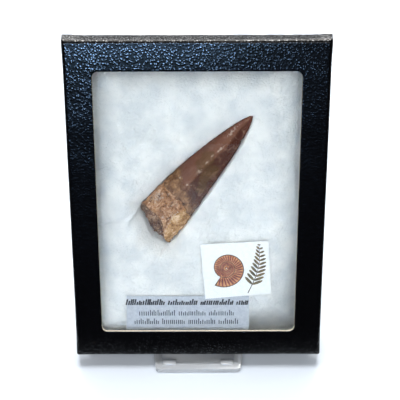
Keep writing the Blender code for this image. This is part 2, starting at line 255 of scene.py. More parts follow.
# %% Mottled finishes and the cut board
def mottled(name, size, detail, stops, raised=None, **shader_inputs):
    """A finish between the colours of two stops. raised gives a bump's strength and its distance."""
    made, tree, shader = new_finish(name, **shader_inputs)
    where = put(tree, "ShaderNodeTexCoord").outputs["Object"]
    cloud = put(tree, "ShaderNodeTexNoise", {"Vector": where, "Scale": 1 / size, "Detail": detail})
    tone = put(tree, "ShaderNodeValToRGB", {0: cloud.outputs["Fac"]}, stops=stops)
    link(tree, tone.outputs[0], shader, "Base Color")
    if raised:
        lifted = {"Strength": raised[0], "Distance": raised[1], "Height": cloud.outputs["Fac"]}
        link(tree, put(tree, "ShaderNodeBump", lifted).outputs[0], shader, "Normal")
    return made, tree, shader


BOARD_TONES = [(0.3, "B3AA96"), (0.7, "D6CEBF")]
BOARD_RAISED = (0.5, 0.00004)
cut_board = mottled("die_cut_cream_board", 0.0007, 3.0, BOARD_TONES, BOARD_RAISED, IOR=1.45, Roughness=0.85)[0]
print("made", cut_board.name)

# %% [markdown]
# ## The lid
#
# The lid is a frame: a rounded rectangle for the window, a folded outer edge and a wall that flares a little
# at its rim, most at the corners where the paper doubles. It could be a Boolean of boxes with bevels. Rings of
# points that run from the window out over the fold, down the wall and back inside give an even grid instead,
# and an even grid can take dents and a bow. The relief only goes inwards, so the lid keeps its size.

# %% Rings of a rounded rectangle
ARC_POINTS = 9


def ring(half_w, low, high, corner, depth, counts, shift=0.0):
    """One level of the box as evenly spread points, the same number in every ring of a piece."""
    arcs = []
    for side, middle_z, start in (
        (1, low + corner, -90),
        (1, high - corner, 0),
        (-1, high - corner, 90),
        (-1, low + corner, 180),
    ):
        middle_x = shift + side * (half_w - corner)
        turn = np.radians(np.linspace(start, start + 90, ARC_POINTS))
        arcs.append(np.stack((middle_x + corner * np.cos(turn), middle_z + corner * np.sin(turn)), axis=-1))
    parts = []
    for k, arc in enumerate(arcs):
        step = np.linspace(0.0, 1.0, counts[k % 2] + 1)[1:-1, None]
        parts += [arc, arc[-1] + (arcs[(k + 1) % 4][0] - arc[-1]) * step]
    flat = np.concatenate(parts)
    return np.stack((flat[:, 0], np.full(len(flat), depth), flat[:, 1]), axis=-1)


def between(first, last, steps):
    """Rings that lead from the first to the last, without the first."""
    return [first + (last - first) * (k + 1) / steps for k in range(steps)]


def pebble_height(points, pitch):
    """1 on the crowns of an embossed grain and 0 in its creases, with cells drawn out along one diagonal."""
    heights = []
    for p in points:
        q = Vector((p[0] + 0.3 * p[2], p[1], p[2] + 0.3 * p[0])) / pitch
        near = noise.voronoi(q + 0.5 * noise.noise_vector(q * 0.7))[0]
        heights.append(near[1] - near[0])
    return smooth(0.0, 0.7, np.array(heights))


# %% Lid cover
LID_DEPTH, LID_WALL, LID_FOLD, LID_FLARE, LID_CORNER = 0.0070, 0.0012, 0.0013, 0.00048, 0.0007
WINDOW_W, WINDOW_H, WINDOW_LOW, WINDOW_CORNER = 0.0672, 0.0922, 0.00955, 0.0020
LID_COUNTS = (330, 258)
LID_PEBBLES, LID_PEBBLE_PITCH = 0.00001, 0.0016
LID_DENTS, LID_DENT_SIZE = 0.00005, 0.009
LID_SLACK, LID_SLACK_WAVE, LID_SLACK_SIZE = 0.00034, 0.00012, 0.021
TUCK = 0.00001
CUT_EDGE = 0.00022


def window_ring(grow, depth):
    low, high = WINDOW_LOW - grow, WINDOW_LOW + WINDOW_H + grow
    return ring(WINDOW_W / 2 + grow, low, high, WINDOW_CORNER + grow, depth, LID_COUNTS)


def outer_ring(inset, depth):
    corner = LID_CORNER * (1 - 0.75 * depth / LID_DEPTH)
    return ring(BOX_W / 2 - inset, inset, BOX_H - TUCK - inset, corner, depth, LID_COUNTS)


def inner_ring(inset, depth):
    return ring(BOX_W / 2 - inset, inset, BOX_H - inset, LID_CORNER / 2, depth, LID_COUNTS)


def make_lid():
    """Rings from the window's cut edge over the face, the fold and the wall, and back along the inside."""
    rings = [window_ring(0.0, LID_WALL)]
    rings += between(rings[-1], window_ring(0.0, CUT_EDGE), 3)
    board_end = len(rings)
    for turn in np.radians((30, 60, 90)):
        rings.append(window_ring(CUT_EDGE * (1 - math.cos(turn)), CUT_EDGE * (1 - math.sin(turn))))
    rings += between(rings[-1], outer_ring(LID_FOLD, 0.0), 32)
    for turn in np.radians(np.linspace(0, 90, 9)[1:]):
        rings.append(outer_ring(LID_FOLD * (1 - math.sin(turn)), LID_FOLD * (1 - math.cos(turn))))
    rings += between(rings[-1], outer_ring(-LID_FLARE, LID_DEPTH - 0.0002), 18)
    rings.append(outer_ring(-LID_FLARE, LID_DEPTH))
    outside_end = len(rings)
    rings += between(rings[-1], inner_ring(0.0007, LID_DEPTH), 2)
    rings += between(rings[-1], inner_ring(LID_WALL, LID_WALL), 4)
    rings += between(rings[-1], rings[0], 5)[:-1]
    count = len(rings[0])
    points = np.concatenate(rings)

    x, depth, z = points.T
    at_side = np.abs(x) > BOX_W / 2 - 0.003

    def move_in(amount):
        """Moves the side walls in along X and the top and bottom walls along Z."""
        points[:, 0] -= np.where(at_side, np.sign(x) * amount, 0.0)
        points[:, 2] -= np.where(at_side, 0.0, np.sign(z - BOX_H / 2) * amount)

    # The walls flare in full at the corners and bow in between them, more towards the rim
    from_corner = np.where(at_side, np.minimum(z, BOX_H - z), BOX_W / 2 - np.abs(x))
    from_fold = 0.6 * smooth(0.0, LID_FOLD, depth) + 0.4 * smooth(LID_FOLD, LID_DEPTH, depth)
    bow = LID_SLACK + LID_SLACK_WAVE * lumps(points, LID_SLACK_SIZE, 7.0)
    on_wall = (np.abs(x) > BOX_W / 2 - 0.0014) | (z < 0.0014) | (z > BOX_H - 0.0014)
    move_in(np.where(on_wall, smooth(0.001, 0.010, from_corner) * from_fold * bow, 0.0))

    # Pebbles and soft dents, pressed inwards along the skin: back on the face, sideways on the walls
    press = LID_PEBBLES * (1 - pebble_height(points, LID_PEBBLE_PITCH))
    press += LID_DENTS * (1 + lumps(points, LID_DENT_SIZE))
    press[: board_end * count] = 0.0
    press[outside_end * count :] = 0.0
    facing = np.clip((LID_FOLD - depth) / LID_FOLD, 0.0, 1.0)
    points[:, 1] += press * facing
    move_in(press * (1 - facing))

    faces = quads(len(rings), count, closed_rows=True)
    kind = np.where(np.arange(len(faces)) // count < board_end - 1, 1, 0)
    return add_piece("lid_cover", points, faces, BOX_PLACE, [leatherette, cut_board], kind)


lid = make_lid()

# %% [markdown]
# ## The tray
#
# The tray slides inside the lid and holds the batting. Its own covered walls show as a strip above the lid
# and all round the back. The same rings make it, from the middle of the back over the edge to the front rim and
# down inside, with deeper dents along the walls where the glue has pulled the paper into wrinkles.

# %% Tray cover
TRAY_W, TRAY_H, TRAY_SHIFT = 0.0822, 0.1086, 0.0004
TRAY_WALL, TRAY_FLOOR, TRAY_EDGE, TRAY_CORNER, TRAY_FRONT = 0.0011, 0.0010, 0.0006, 0.0010, 0.0031
TRAY_LOW = (BOX_H - TRAY_H) / 2
TRAY_COUNTS = (200, 150)
TRAY_MIDDLE = TRAY_W / 2 - 0.002
TRAY_PEBBLES, TRAY_PEBBLE_PITCH = 0.00005, 0.0013
TRAY_DENTS, TRAY_DENT_SIZE = 0.00009, 0.006


def tray_ring(inset, depth, corner=TRAY_CORNER):
    low, high = TRAY_LOW + inset, BOX_H - TRAY_LOW - inset
    return ring(TRAY_W / 2 - inset, low, high, corner, depth, TRAY_COUNTS, TRAY_SHIFT)


def make_tray():
    floor_depth = BOX_D - TRAY_FLOOR
    rings = [tray_ring(TRAY_MIDDLE, BOX_D, 0.0008)]
    rings += between(rings[-1], tray_ring(TRAY_EDGE, BOX_D), 44)
    for turn in np.radians(np.linspace(0, 90, 6)[1:]):
        rings.append(tray_ring(TRAY_EDGE * (1 - math.sin(turn)), BOX_D - TRAY_EDGE * (1 - math.cos(turn))))
    rings += between(rings[-1], tray_ring(0.0, TRAY_FRONT), 30)
    outside_end = len(rings)
    rings += between(rings[-1], tray_ring(TRAY_WALL, TRAY_FRONT, TRAY_CORNER / 2), 2)
    rings += between(rings[-1], tray_ring(TRAY_WALL, floor_depth, TRAY_CORNER / 2), 6)
    rings += between(rings[-1], tray_ring(TRAY_MIDDLE, floor_depth, 0.0005), 8)
    points = np.concatenate(rings)
    count = len(rings[0])
    x, depth, z = points.T
    press = TRAY_PEBBLES * (1 - pebble_height(points, TRAY_PEBBLE_PITCH))
    press += TRAY_DENTS * (1 + lumps(points, TRAY_DENT_SIZE))
    press[outside_end * count :] = 0.0
    back = smooth(BOX_D - TRAY_EDGE * 1.05, BOX_D - TRAY_EDGE * 0.3, depth)
    at_side = np.abs(x - TRAY_SHIFT) > TRAY_W / 2 - 0.0022
    points[:, 1] -= press * back
    points[:, 0] -= np.where(at_side, np.sign(x) * press * (1 - back), 0.0)
    points[:, 2] -= np.where(at_side, 0.0, np.sign(z - BOX_H / 2) * press * (1 - back))
    faces = [tuple(face) for face in quads(len(rings), count)]
    faces.append(tuple(range(count))[::-1])
    faces.append(tuple(range((len(rings) - 1) * count, len(rings) * count)))
    return add_piece("tray_cover", points, faces, BOX_PLACE, [tray_cover])


tray = make_tray()

# %% [markdown]
# ## Fossil tooth finish
#
# A fossil tooth is enamel and dentine turned to stone. The crown's enamel is satin and red brown, with olive
# clouds and a worn ridge. Painted shade makes it darkest along its lower side and lighter towards its upper
# side, and its pale flecks are mostly painted highlights. Below it a dull ochre band has lost its enamel, and
# the root is rough, tan and orange with dark pits. The mesh carries soft marks that say where each of these
# lies. Noise at several sizes breaks every border, because nothing on a fossil is even. The polish goes with
# the enamel: bare dentine and stone are rough and reflect little.

# %% Enamel and root
MARKS = ("along", "side", "bone", "ochre", "olive", "pale", "tan", "dark", "cavity")

fossil, tree, shader = new_finish("mineralised_enamel_and_dentine", IOR=1.5)
flat = put(tree, "ShaderNodeTexCoord").outputs["Object"]
own_axes = {0: flat, 1: TOOTH_PLACE.translation, 2: TOOTH_PLACE.to_euler()}
where = put(tree, "ShaderNodeMapping", own_axes, vector_type="TEXTURE").outputs[0]
lengthwise = {0: where, 1: (0.22, 1.0, 1.0)}
drawn_out = put(tree, "ShaderNodeVectorMath", lengthwise, operation="MULTIPLY").outputs[0]
moved_away = {0: where, 1: (0.031, 0.017, 0.023)}
elsewhere = put(tree, "ShaderNodeVectorMath", moved_away, operation="ADD").outputs[0]
along, side, bone, ochre, olive, pale, tan, dark, cavity = (
    put(tree, "ShaderNodeAttribute", attribute_name=mark).outputs["Fac"] for mark in MARKS
)


def mottle(size, detail, vector=None, **inputs):
    """Noise with features of a real size in metres, in the tooth's own axes."""
    values = {"Vector": vector or where, "Scale": 1 / size, "Detail": detail, **inputs}
    return put(tree, "ShaderNodeTexNoise", values).outputs["Fac"]


def tones(factor, stops):
    return put(tree, "ShaderNodeValToRGB", {0: factor}, stops=stops).outputs[0]


def share(value, low, high, most=1.0):
    inputs = {"Value": value, "From Min": low, "From Max": high, "To Max": most}
    return put(tree, "ShaderNodeMapRange", inputs, interpolation_type="SMOOTHSTEP").outputs[0]


def plus(first, factor, second):
    """first * factor + second"""
    return put(tree, "ShaderNodeMath", {0: first, 1: factor, 2: second}, operation="MULTIPLY_ADD").outputs[0]


def larger(first, second):
    return put(tree, "ShaderNodeMath", {0: first, 1: second}, operation="MAXIMUM").outputs[0]


def blend(factor, under, over):
    return put(tree, "ShaderNodeMix", {0: factor, 6: under, 7: over}, data_type="RGBA").outputs[2]


streaks = mottle(0.0015, 5.0, drawn_out)
clouds = mottle(0.0045, 4.0)
patches = mottle(0.0021, 6.0, Distortion=0.8)
grit = mottle(0.0007, 6.0, Roughness=0.75)
other_grit = mottle(0.0005, 4.0, elsewhere)

# Crown, from its lower side to its upper side. The tones carry painted shade, darkest low on the lower side and
# lighter towards the upper side, and the lowest stop is lighter again as a painted reflection of the batting
CROWN_TONES_WITH_PAINTED_SHADE = [(0.0, "55291B"), (0.25, "451F14"), (0.44, "4A2418"), (0.58, "4E2A1D"), (0.76, "7B4F3B")]
skin = tones(share(plus(streaks, 0.9, side), -0.75, 1.35), CROWN_TONES_WITH_PAINTED_SHADE + [(1.0, "70473A")])
skin = blend(share(plus(clouds, 0.7, olive), 0.55, 0.95, 0.7), skin, paint("573B1A"))
skin = blend(share(along, 0.78, 1.0, 0.45), skin, paint("6B3B30"))
skin = blend(share(plus(streaks, 0.5, patches), 0.76, 0.98, 0.32), skin, paint("9C7460"))
skin = blend(share(plus(grit, 0.6, streaks), 0.7, 0.6, 0.3), skin, paint("3A1F16"))

# Ochre band
BAND_TONES = [(0.5, "452A1A"), (0.66, "6C4830"), (0.82, "916A4A"), (0.97, "BE9672")]
gritty = plus(grit, 0.45, patches)
skin = blend(share(plus(patches, 1.2, ochre), 0.75, 1.4), skin, tones(gritty, BAND_TONES))

# Root, with its paler raised block
ROOT_TONES = [(0.48, "5A3926"), (0.62, "976640"), (0.76, "BC8960"), (0.91, "E8C3A2")]
BLOCK_TONES = [(0.5, "7F552F"), (0.64, "B58450"), (0.76, "D0A170"), (0.9, "EACBA6")]
root = blend(share(clouds, 0.5, 0.64, 0.4), tones(gritty, ROOT_TONES), paint("8A6149"))
block = tones(gritty, BLOCK_TONES)
root = blend(share(plus(grit, 0.5, tan), 0.55, 0.9), root, block)
root = blend(share(grit, 0.43, 0.33, 0.7), root, paint("4E2F1D"))
edge = share(plus(grit, 0.7, bone), 0.66, 0.98)
skin = blend(edge, skin, root)

# Broken end, dark places and pale flecks. Some dark places are painted shade, and most pale flecks are painted
# highlights
STONE_TONES = [(0.5, "382016"), (0.66, "6B4533"), (0.8, "946B50"), (0.95, "C29C7C")]
skin = blend(share(cavity, 0.0, 0.35), skin, tones(plus(grit, 0.5, patches), STONE_TONES))
# Dark places: the fossil's own dark spots, and painted shade in the groove beside the raised block, in the chip
# on the lower edge, at the bottom of the broken end's hollow and over the tooth's back
skin = blend(share(plus(other_grit, 1.2, dark), 0.85, 1.6, 0.8), skin, paint("2A1710"))
# Pale flecks: painted highlights along the crown's ridge, on the nodule and along the raised block's edge, and
# pale patches of the root's own tone
pale_flecks_and_highlights = share(plus(grit, 4.0, pale), 2.4, 2.95, 0.7)
skin = blend(pale_flecks_and_highlights, skin, paint("C6B2A2"))
link(tree, skin, shader, "Base Color")

# Polish and fine relief: long streaks everywhere, and grit that is strong only on the root
dull = larger(plus(larger(edge, cavity), 0.6, 0.18), plus(ochre, 0.3, 0.18))
link(tree, plus(streaks, 0.15, dull), shader, "Roughness")
polish = {0: dull, "From Min": 0.22, "From Max": 0.5, "To Min": 0.17, "To Max": 0.05}
link(tree, put(tree, "ShaderNodeMapRange", polish).outputs[0], shader, "Specular IOR Level")
fine = put(tree, "ShaderNodeMath", {0: grit, 1: plus(edge, 1.0, 0.12)}, operation="MULTIPLY").outputs[0]
height = plus(streaks, 0.45, fine)
relief = put(tree, "ShaderNodeBump", {"Strength": 0.9, "Distance": 0.0003, "Height": height})
link(tree, relief.outputs[0], shader, "Normal")
print("made", fossil.name)

# %% [markdown]
# ## The tooth
#
# The tooth is a tapering, slightly bent cone, flattened from front to back and broken off at its root. Its
# shape follows a rule, so it is a formula: a half width along its length, a bend, and a broken end that is
# cut back in front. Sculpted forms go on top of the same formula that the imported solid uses: pits, grains and
# cracks on the root, one raised block with a groove beside it, long flutes and a worn ridge on the crown, and
# the broken face with its dark hollow.

# %% Tooth shape
TOOTH_HALF_W, TOOTH_FLATNESS, TOOTH_BEND, TOOTH_TIP_DEPTH = 0.0081, 0.70, 0.00085, 0.0060
ROOT_END, ROOT_LUMP, ROOT_LUMP_SIZE = 0.34, 0.00045, 0.0030
BREAK_SLOPE, BREAK_SIDE = 0.0042, math.radians(55)
BREAK_RIDGE, RIDGE_SIDE, RIDGE_SPREAD = 0.0024, math.radians(137), math.radians(28)
TOOTH_SIDES, TOOTH_RINGS, END_RINGS = 330, 246, 22

# Patches as millimetres along and across the tooth, and their reach both ways
OLIVE = ((29.1, 2.4, 6.0, 3.0), (26.1, -1.4, 5.5, 2.6), (21.0, -3.0, 3.0, 2.0))
# The first five pale patches are painted highlights along the crown's ridge, and the one at 4.9, 0.6 is a
# painted highlight on the nodule. The rest are paler patches of the band and the root
PALE_AND_HIGHLIGHT_PATCHES = (
    (25.3, 1.7, 1.9, 1.1), (29.7, 1.7, 2.2, 0.6), (31.9, 1.7, 1.8, 0.6), (35.4, 1.1, 2.8, 0.7),
    (43.0, 1.9, 4.5, 0.7), (19.3, 5.0, 1.3, 0.8), (18.9, 1.9, 1.2, 0.6), (12.4, 4.3, 1.3, 0.9),
    (4.9, 0.6, 1.1, 1.0), (9.0, 6.3, 3.4, 2.4),
)
# The last dark patch is painted shade in the chip that is carved into the lower edge
DARK = (
    (0.4, -0.6, 1.4, 0.9), (1.0, 6.6, 1.5, 1.2), (6.6, 7.3, 2.2, 0.7),
    (10.2, 1.4, 2.4, 1.2), (5.6, -1.0, 2.6, 1.0), (41.9, -2.9, 1.2, 0.6),
)
NODULE = (4.9, 0.6, 0.9, 0.9)


def spot(x, across, patch):
    """1 in the middle of an oval patch, falling to 0 at its reach."""
    return max(0.0, 1 - math.hypot((x - patch[0]) / patch[2], (across - patch[1]) / patch[3]))


def tooth_section(along):
    """Half width, sideways bend and depth of the tooth's axis, at 0 (root) to 1 (tip)."""
    s = min(max(along, 0.0), 1.0)
    half_w = TOOTH_HALF_W * (1 - s**1.55) ** 0.68
    bend = TOOTH_BEND * math.sin(math.pi * s) * (1 - s)
    return half_w, bend, (TOOTH_TIP_DEPTH - TOOTH_ROOT.y) * s


def root_break(angle):
    """Where the broken end lies at each angle round the tooth: cut back in front, but for one ridge."""
    ridge = BREAK_RIDGE * math.exp(-(((angle - RIDGE_SIDE) / RIDGE_SPREAD) ** 2))
    return BREAK_SLOPE * math.cos(angle - BREAK_SIDE) - ridge + 0.0004 * math.sin(5 * angle + 0.8)


def tooth_marks(at, side, front):
    """The soft marks at one point, as in MARKS from bone to dark, and its distance from the groove.

    Lengths in here are millimetres from the root's end along the tooth and across it.
    """
    sway = noise.noise_vector(at / 0.0024) * 0.8 + noise.noise_vector(at / 0.0009) * 0.35
    x, across = at.x * 1000 + sway.x, at.z * 1000 + sway.z
    edge = 13.0 - 2.4 * float(smooth(0.1, 1.0, -side)) + 1.1 * noise.noise(at / 0.0017 + Vector((5, 5, 5)))
    bone = 1 - float(smooth(edge - 0.7, edge + 0.7, x))
    end = 17.2 + (4.2 * side if side > 0 else 4.0 * side)
    ochre = 1 - float(smooth(end - 3.4, end + 3.4, x))
    groove = across + 2.5 - 0.182 * (x - 2.0)
    limit = 8.8 + 1.5 * (-1.3 - across)
    block = 0.0
    if front > 0:
        block = (1 - float(smooth(-0.25, 0.15, groove))) * (1 - float(smooth(limit - 0.8, limit + 0.8, x)))
    olive = min(1.0, 1.6 * max(spot(x, across, patch) for patch in OLIVE))
    pale = max(spot(at.x * 1000, at.z * 1000 + 0.3 * sway.z, patch) for patch in PALE_AND_HIGHLIGHT_PATCHES)
    dark = max(spot(x, across, patch) for patch in DARK)
    # Painted shade in the groove that is carved beside the raised block, and a painted highlight along the
    # block's raised edge
    beside = math.exp(-(((groove - 0.45) / 0.35) ** 2)) * float(x < limit + 0.5)
    ridge = math.exp(-(((groove + 0.25) / 0.3) ** 2)) * float(x < limit + 0.5)
    pale = max(pale * (0.0 if front < 0 else 1.0), 0.8 * ridge * bone * front)
    dark = max(dark, 0.7 * beside * bone * max(front, 0.0))
    # On the back, which lies in the batting, painted shade darkens the tooth all over
    if front < 0:
        olive, dark = 0.0, 0.4
    return (bone, ochre, olive, pale, block, dark), groove


def tooth_point(along, angle):
    """A point of the skin and its marks."""
    half_w, bend, depth = tooth_section(along)
    ease = float(smooth(0.0, ROOT_END, along))
    x = along * TOOTH_L + root_break(angle) * (1 - ease)
    side, front = math.cos(angle), math.sin(angle)
    base = Vector((x, depth - half_w * TOOTH_FLATNESS * front, bend + half_w * side))
    rough = 1 - float(smooth(0.6 * ROOT_END, ROOT_END, along))
    lump = noise.noise(base / ROOT_LUMP_SIZE) + 0.5 * noise.noise(base * 2.3 / ROOT_LUMP_SIZE)
    out = (lump - 0.2) * ROOT_LUMP * rough
    found, groove = tooth_marks(base, side, front)
    bone, ochre, olive, pale, block, dark = found

    # Root: grains, cracks between blocks, the raised block and the groove beside it, and one nodule
    grain = noise.fractal(base / 0.0011, 0.8, 2.1, 4)
    cells = noise.voronoi(base / 0.0024 + noise.noise_vector(base / 0.0015) * 0.6)[0]
    crack = 1 - float(smooth(0.0, 0.16, cells[1] - cells[0]))
    out += bone * (0.00028 * grain - 0.00022 * crack * float(smooth(-0.25, 0.2, noise.noise(base / 0.004))))
    if front > 0:
        out += 0.00036 * block * float(smooth(0.0, 3.0, x * 1000))
        out -= bone * 0.00036 * math.exp(-(((groove - 0.4) / 0.45) ** 2))
        out += 0.00035 * spot(x * 1000, base.z * 1000, NODULE)

    # Crown: faint flutes, a worn ridge along the middle, flakes and one chip on the lower edge
    crown = (1 - bone) * (1 - float(smooth(0.92, 1.0, along)))
    flute = math.sin(angle * 30 + 2.5 * noise.noise(Vector((along * 7, side * 2, 3.0))))
    out += crown * 0.000014 * flute * max(front, 0.0)
    out += crown * 0.00010 * noise.fractal(Vector((base.x * 0.35, base.y, base.z)) / 0.0022, 1.0, 2.0, 3)
    out += crown * 0.00028 * math.exp(-(((side - 0.22) / 0.20) ** 2)) * max(front, 0.0)
    flake = noise.voronoi(Vector((base.x * 0.6, base.y, base.z)) / 0.0019)[0]
    out -= (1 - bone) * ochre * 0.00014 * float(smooth(0.2, 0.6, flake[0]))
    out -= 0.00035 * spot(x * 1000, base.z * 1000, (41.9, -2.9, 1.2, 0.9))
    return base + Vector((0.0, -front, side)) * out, (along, side, *found, 0.0)


def make_tooth():
    angles = np.linspace(0, 2 * math.pi, TOOTH_SIDES, endpoint=False)
    skin, values = [], []
    for i in range(TOOTH_RINGS):
        along = 1 - (1 - i / TOOTH_RINGS) ** 1.35
        for angle in angles:
            point, found = tooth_point(along, angle)
            skin.append(point)
            values.append(found)
    end = skin[:TOOTH_SIDES]
    centre = sum(end, Vector()) / TOOTH_SIDES

    # The broken face, ring by ring from its rim to its hollow
    face, face_values = [], []
    for k in range(1, END_RINGS):
        reach = 1 - k / END_RINGS
        ring_points, ring_values = [], []
        for p in end:
            q = centre.lerp(p, reach)
            found = tooth_marks(q, 0.0, 1.0)[0]
            pulp = 1 - float(smooth(0.35, 0.72, reach))
            rough = noise.fractal(q / 0.0016, 0.8, 2.1, 5) * float(smooth(0.0, 0.12, 1 - reach))
            q.x += 0.0012 * (1 - reach**2) + 0.0013 * rough + 0.0012 * pulp
            ring_points.append(q)
            ring_values.append((0.0, 0.0, 1.0, 1.0, 0.0, found[3], 0.0, found[5], 1.0))
        face = ring_points + face
        face_values = ring_values + face_values
    points = face + skin
    values = face_values + values
    rows = END_RINGS - 1 + TOOTH_RINGS
    faces = [tuple(quad) for quad in quads(rows, TOOTH_SIDES)]
    last = (rows - 1) * TOOTH_SIDES
    tip, floor = len(points), len(points) + 1
    points += [Vector((TOOTH_L, tooth_section(1.0)[2], 0.0)), centre + Vector((0.0026, 0, 0))]
    # The hollow's floor point carries the full dark mark, painted shade at the bottom of the broken end's
    # hollow, and the tip is a little darker
    values += [(1.0, 0.0, 0.0, 0.0, 0.0, 0.0, 0.0, 0.3, 0.0), (0.0, 0.0, 1.0, 1.0, 0.0, 0.0, 0.0, 1.0, 1.0)]
    for i in range(TOOTH_SIDES):
        j = (i + 1) % TOOTH_SIDES
        faces += [(last + i, last + j, tip), (j, i, floor)]
    marks = dict(zip(MARKS, zip(*values)))
    return add_piece("fossil_tooth", points, faces, TOOTH_PLACE, [fossil], marks=marks)


tooth = make_tooth()

# %% [markdown]
# ## Polyester batting
#
# The pad is lofted polyester fibre, the white wadding that is sold for quilts. It presses against the glass,
# sinks at the tray's walls and closes softly round the tooth. Cloth simulation could swell it, but its back
# and sides are held by the tray and its front by the glass, so a height field over the front is closer to the
# truth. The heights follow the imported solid's rule, with finer tufts, a crease, a slope down to the tooth's
# broken end, and edges that sink further. The lower right corner sinks most and the lower left one least.
# Fibres scatter light in every direction, so the finish is rough, with a little sheen and almost no mirror
# part, and its tone only drifts between two whites.

# %% Batting finish and pad
PAD_FRONT, PAD_LUMP, PAD_LUMP_SIZE, PAD_REACH = 0.0044, 0.0004, 0.014, 0.0060
PAD_EDGE_SINK, PAD_EDGE_REACH = 0.0048, 0.0150
PAD_COLUMNS, PAD_ROWS = 236, 316
PAD_BACK = BOX_D - TRAY_FLOOR - CLEAR
PAD_ROOM = TRAY_WALL + CLEAR
PAD_LOW = Vector((TRAY_SHIFT - TRAY_W / 2 + PAD_ROOM, TRAY_LOW + PAD_ROOM))
PAD_HIGH = Vector((TRAY_SHIFT + TRAY_W / 2 - PAD_ROOM, BOX_H - TRAY_LOW - PAD_ROOM))
CREASE_START, CREASE_END = Vector((-0.0345, 0.0459)), Vector((-0.0178, 0.0534))
CREASE_DEPTH, CREASE_WIDTH = 0.0004, 0.00045

WOOL_TONES = [(0.36, "E4E7E8"), (0.62, "F9F9F7")]
WOOL_SHEEN = {"Roughness": 0.95, "Sheen_Weight": 0.15, "Specular_IOR_Level": 0.1}
batting_finish, tree, shader = mottled(
    "lofted_polyester_batting", 0.007, 5.0, WOOL_TONES, IOR=1.45, **WOOL_SHEEN
)
where = put(tree, "ShaderNodeTexCoord").outputs["Object"]
fuzz = put(tree, "ShaderNodeTexNoise", {"Vector": where, "Scale": 1 / 0.0006, "Detail": 4.0})
relief = put(tree, "ShaderNodeBump", {"Strength": 0.8, "Distance": 0.00035, "Height": fuzz.outputs["Fac"]})
link(tree, relief.outputs[0], shader, "Normal")


def tooth_gap(x, z):
    """Where a place lies against the tooth, as seen from the front.

    Gives the distance from its outline (0 inside it), the distance past its broken end (negative on the
    tooth's side), the shares along and across it, and the tooth's half width and depth there.
    """
    dx, dz = x - TOOTH_ROOT.x, z - TOOTH_ROOT.z
    along = dx * math.cos(TOOTH_TILT) + dz * math.sin(TOOTH_TILT)
    across = dz * math.cos(TOOTH_TILT) - dx * math.sin(TOOTH_TILT)
    half_w, bend, depth = tooth_section(along / TOOTH_L)
    turn = math.acos(min(max((across - bend) / TOOTH_HALF_W, -1.0), 1.0))
    end = min(root_break(turn), root_break(2 * math.pi - turn))
    past_end = end - along
    gap = math.hypot(max(abs(across - bend) - half_w, 0.0), max(past_end, along - TOOTH_L, 0.0))
    return gap, past_end, along / TOOTH_L, (across - bend) / max(half_w, 0.003), half_w, depth


def rest_of(low, high, value):
    """1 below low, 0 above high, and an even ramp between them, for a single number."""
    return 1 - float(smooth(low, high, value))


def pad_depth(x, z):
    """Depth of the batting's front: sunk at the walls, lumpy, close round the tooth and hollow behind it."""
    gap, past_end, along, side, half_w, depth = tooth_gap(x, z)
    here = Vector((x, 0.0, z))
    tuft = noise.fractal(here / 0.0042, 1.0, 2.0, 4)
    edge = min(x - PAD_LOW.x, PAD_HIGH.x - x, z - PAD_LOW.y, PAD_HIGH.y - z)
    low_right = math.hypot(PAD_HIGH.x - x, z - PAD_LOW.y)
    low_left = math.hypot(x - PAD_LOW.x, z - PAD_LOW.y)
    sink = 1 + 0.9 * rest_of(0.005, 0.04, low_right) - 0.5 * rest_of(0.01, 0.035, low_left)
    sink += 0.5 * float(smooth(-0.014, -0.004, z - PAD_HIGH.y))
    front = PAD_FRONT + PAD_EDGE_SINK * sink * rest_of(0.0, PAD_EDGE_REACH * sink**0.5, edge)
    front += PAD_LUMP * noise.noise(here / PAD_LUMP_SIZE) + 0.00030 * tuft
    way = CREASE_END - CREASE_START
    off = Vector((x, z)) - CREASE_START
    off -= way * min(max(off.dot(way) / way.length_squared, 0.0), 1.0)
    front += CREASE_DEPTH * math.exp(-((off.length / CREASE_WIDTH) ** 2))

    # The batting stands higher against the tooth's lower side, and slopes down to the broken end
    axis = TOOTH_ROOT.y + depth
    rise = 0.0006 + 0.0022 * rest_of(-0.6, 0.7, side) * rest_of(0.97, 1.02, along)
    at_end = float(smooth(-0.006, 0.002, past_end))
    rise += (-0.0014 - rise) * at_end
    near = max(1 - gap / (PAD_REACH + 0.002 * at_end), 0.0) ** 2
    made = front + (max(axis - rise, front) - front) * near
    if gap < 0.0001:
        inside = math.sqrt(max(1 - (side * half_w / (half_w + 0.0003)) ** 2, 0.0))
        made = max(made, axis + (half_w * TOOTH_FLATNESS + 0.0009) * inside)
    return min(made, PAD_BACK - 0.0004)


def pad_grid(columns, rows, inset):
    """The places and the quads of an even grid over the pad's front."""
    xs = np.linspace(PAD_LOW.x + inset, PAD_HIGH.x - inset, columns)
    zs = np.linspace(PAD_LOW.y + inset, PAD_HIGH.y - inset, rows)
    firsts = [r * columns + c for r in range(rows - 1) for c in range(columns - 1)]
    return [(x, z) for z in zs for x in xs], [(a, a + 1, a + columns + 1, a + columns) for a in firsts]


def make_batting():
    columns, rows = PAD_COLUMNS, PAD_ROWS
    places, faces = pad_grid(columns, rows, 0.0)
    points = [(x, pad_depth(x, z), z) for x, z in places]
    rim = list(range(columns)) + [r * columns + columns - 1 for r in range(1, rows)]
    rim += [(rows - 1) * columns + c for c in range(columns - 2, -1, -1)]
    rim += [r * columns for r in range(rows - 2, 0, -1)]
    below = len(points)
    points += [(points[k][0], PAD_BACK, points[k][2]) for k in rim]
    for i in range(len(rim)):
        j = (i + 1) % len(rim)
        faces.append((rim[i], rim[j], below + j, below + i))
    faces.append(tuple(range(below, below + len(rim))))
    return add_piece("batting_pad", points, faces, BOX_PLACE, [batting_finish])


batting = make_batting()

